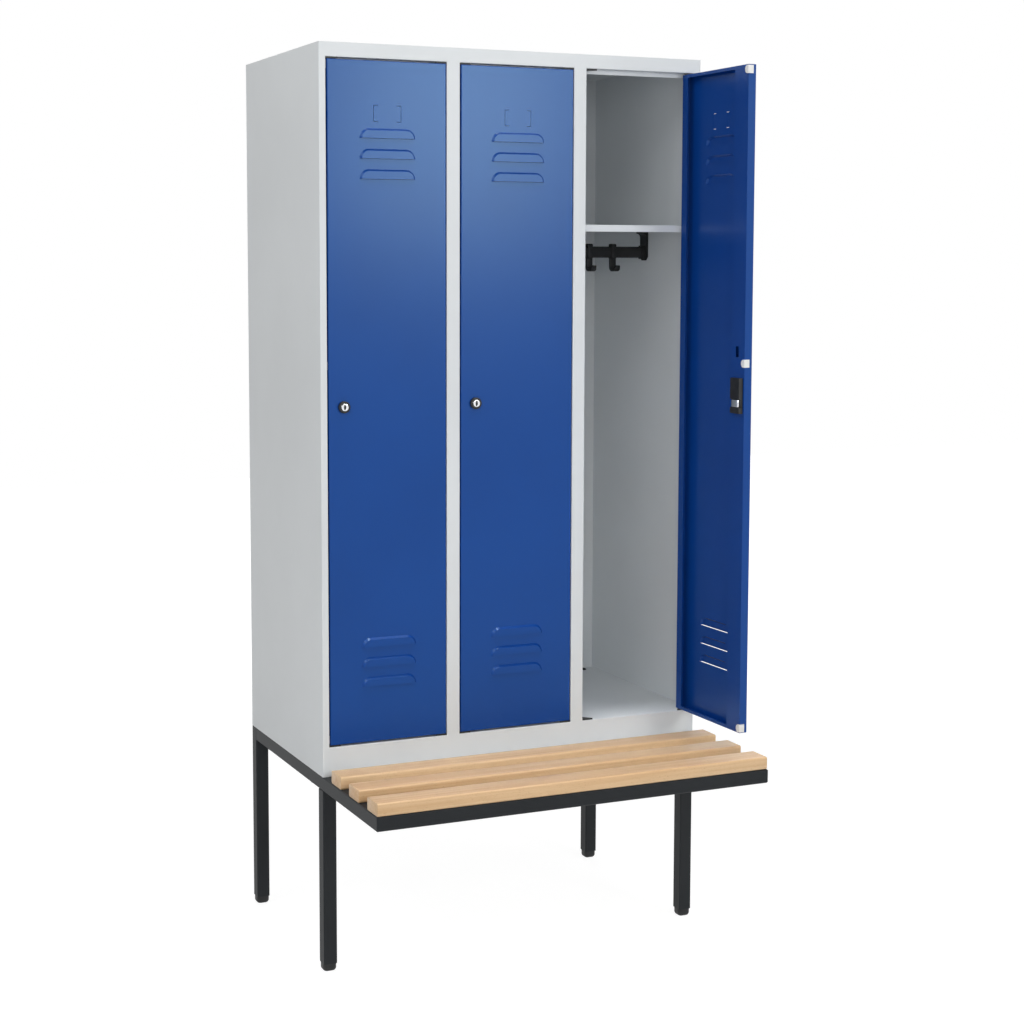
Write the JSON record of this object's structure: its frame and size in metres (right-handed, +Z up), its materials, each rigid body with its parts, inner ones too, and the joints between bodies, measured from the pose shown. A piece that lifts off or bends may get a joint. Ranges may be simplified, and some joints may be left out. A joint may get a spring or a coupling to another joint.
{
  "type": "changing room locker with bench",
  "caption": "Steel garment locker with louvred pivot doors, key locks, hat shelves and sliding coat hooks, on a square-tube frame that reaches out as a slatted bench.",
  "frame": {"origin": "centre of the footprint's box, on the floor", "axes": "+X to the right as seen from the doors, +Y to the back, +Z up"},
  "size_m": [0.9, 0.815, 1.958],
  "materials": {
    "body_grey": "light grey powder coat, satin",
    "door_blue": "gentian blue powder coat, semi-gloss",
    "frame_black": "black-grey powder coat, satin",
    "beech": "clear-lacquered beech",
    "black_plastic": "moulded nylon, matt",
    "white_plastic": "soft moulded buffer, matt",
    "lock_chrome": "bright chrome plate",
    "zinc_steel": "zinc-plated steel"
  },
  "bodies": {
    "cabinet": {"back_panel": "body_grey", "floor_panel": "body_grey", "top_panel": "body_grey", "left_partition": "body_grey", "right_partition": "body_grey", "left_side_panel": "body_grey", "right_side_panel": "body_grey", "hat_shelf_left": "body_grey", "hat_shelf_middle": "body_grey", "hat_shelf_right": "body_grey", "left_side_rail": "frame_black", "right_side_rail": "frame_black", "front_rail": "frame_black", "cross_rail": "frame_black", "rear_rail": "frame_black", "front_legs": "frame_black", "rear_legs": "frame_black", "front_slat": "beech", "middle_slat": "beech", "rear_slat": "beech", "foot_glides": "black_plastic", "corner_bushes": "black_plastic", "coat_rails": "black_plastic", "rail_brackets": "black_plastic"},
    "door_left": {"door_panel_left": "door_blue", "door_stiffener_left": "door_blue", "hinge_pins_left": "zinc_steel", "door_bumpers_left": "white_plastic", "lock_barrel_left": "black_plastic", "lock_case_left": "black_plastic"},
    "plug_left": {"lock_plug_left": "lock_chrome"},
    "bolt_left": {"lock_bolt_left": "lock_chrome"},
    "hook_left_1": {"coat_hook_left_1": "black_plastic"},
    "hook_left_2": {"coat_hook_left_2": "black_plastic"},
    "hook_left_3": {"coat_hook_left_3": "black_plastic"},
    "door_middle": {"door_panel_middle": "door_blue", "door_stiffener_middle": "door_blue", "hinge_pins_middle": "zinc_steel", "door_bumpers_middle": "white_plastic", "lock_barrel_middle": "black_plastic", "lock_case_middle": "black_plastic"},
    "plug_middle": {"lock_plug_middle": "lock_chrome"},
    "bolt_middle": {"lock_bolt_middle": "lock_chrome"},
    "hook_middle_1": {"coat_hook_middle_1": "black_plastic"},
    "hook_middle_2": {"coat_hook_middle_2": "black_plastic"},
    "hook_middle_3": {"coat_hook_middle_3": "black_plastic"},
    "door_right": {"door_panel_right": "door_blue", "door_stiffener_right": "door_blue", "hinge_pins_right": "zinc_steel", "door_bumpers_right": "white_plastic", "lock_barrel_right": "black_plastic", "lock_case_right": "black_plastic"},
    "plug_right": {"lock_plug_right": "lock_chrome"},
    "bolt_right": {"lock_bolt_right": "lock_chrome"},
    "hook_right_1": {"coat_hook_right_1": "black_plastic"},
    "hook_right_2": {"coat_hook_right_2": "black_plastic"},
    "hook_right_3": {"coat_hook_right_3": "black_plastic"}
  },
  "joints": [
    {"name": "door_swing_left", "type": "hinge", "parent": "cabinet", "child": "door_left", "pos_m": [-0.175, -0.0855, 1.208], "axis": [0, 0, 1], "range_deg": [0, 105]},
    {"name": "key_turn_left", "type": "hinge", "parent": "door_left", "child": "plug_left", "pos_m": [-0.399, -0.0855, 1.208], "axis": [0, 1, 0], "range_deg": [0, 90]},
    {"name": "bolt_slide_left", "type": "slide", "parent": "door_left", "child": "bolt_left", "axis": [-1, 0, 0], "range_m": [0, 0.016]},
    {"name": "hook_left_1_slide", "type": "slide", "parent": "cabinet", "child": "hook_left_1", "axis": [1, 0, 0], "range_m": [-0.06, 0.02]},
    {"name": "hook_left_2_slide", "type": "slide", "parent": "cabinet", "child": "hook_left_2", "axis": [1, 0, 0], "range_m": [-0.02, 0.02]},
    {"name": "hook_left_3_slide", "type": "slide", "parent": "cabinet", "child": "hook_left_3", "axis": [1, 0, 0], "range_m": [-0.02, 0.06]},
    {"name": "door_swing_middle", "type": "hinge", "parent": "cabinet", "child": "door_middle", "pos_m": [0.125, -0.0855, 1.208], "axis": [0, 0, 1], "range_deg": [0, 105]},
    {"name": "key_turn_middle", "type": "hinge", "parent": "door_middle", "child": "plug_middle", "pos_m": [-0.099, -0.0855, 1.208], "axis": [0, 1, 0], "range_deg": [0, 90]},
    {"name": "bolt_slide_middle", "type": "slide", "parent": "door_middle", "child": "bolt_middle", "axis": [-1, 0, 0], "range_m": [0, 0.016]},
    {"name": "hook_middle_1_slide", "type": "slide", "parent": "cabinet", "child": "hook_middle_1", "axis": [1, 0, 0], "range_m": [-0.06, 0.02]},
    {"name": "hook_middle_2_slide", "type": "slide", "parent": "cabinet", "child": "hook_middle_2", "axis": [1, 0, 0], "range_m": [-0.02, 0.02]},
    {"name": "hook_middle_3_slide", "type": "slide", "parent": "cabinet", "child": "hook_middle_3", "axis": [1, 0, 0], "range_m": [-0.02, 0.06]},
    {"name": "door_swing_right", "type": "hinge", "parent": "cabinet", "child": "door_right", "pos_m": [0.425, -0.0855, 1.208], "axis": [0, 0, 1], "range_deg": [-91, 14]},
    {"name": "key_turn_right", "type": "hinge", "parent": "door_right", "child": "plug_right", "pos_m": [0.42891, -0.30947, 1.208], "axis": [-0.9998, -0.0175, 0], "range_deg": [0, 90]},
    {"name": "bolt_slide_right", "type": "slide", "parent": "door_right", "child": "bolt_right", "axis": [0.0175, -0.9998, 0], "range_m": [0, 0.016]},
    {"name": "hook_right_1_slide", "type": "slide", "parent": "cabinet", "child": "hook_right_1", "axis": [1, 0, 0], "range_m": [-0.06, 0.02]},
    {"name": "hook_right_2_slide", "type": "slide", "parent": "cabinet", "child": "hook_right_2", "axis": [1, 0, 0], "range_m": [-0.02, 0.02]},
    {"name": "hook_right_3_slide", "type": "slide", "parent": "cabinet", "child": "hook_right_3", "axis": [1, 0, 0], "range_m": [-0.02, 0.06]}
  ],
  "couplings": [
    {"joint": "bolt_slide_left", "follows": "key_turn_left", "m_per_rad": 0.010186},
    {"joint": "bolt_slide_middle", "follows": "key_turn_middle", "m_per_rad": 0.010186},
    {"joint": "bolt_slide_right", "follows": "key_turn_right", "m_per_rad": 0.010186}
  ]
}
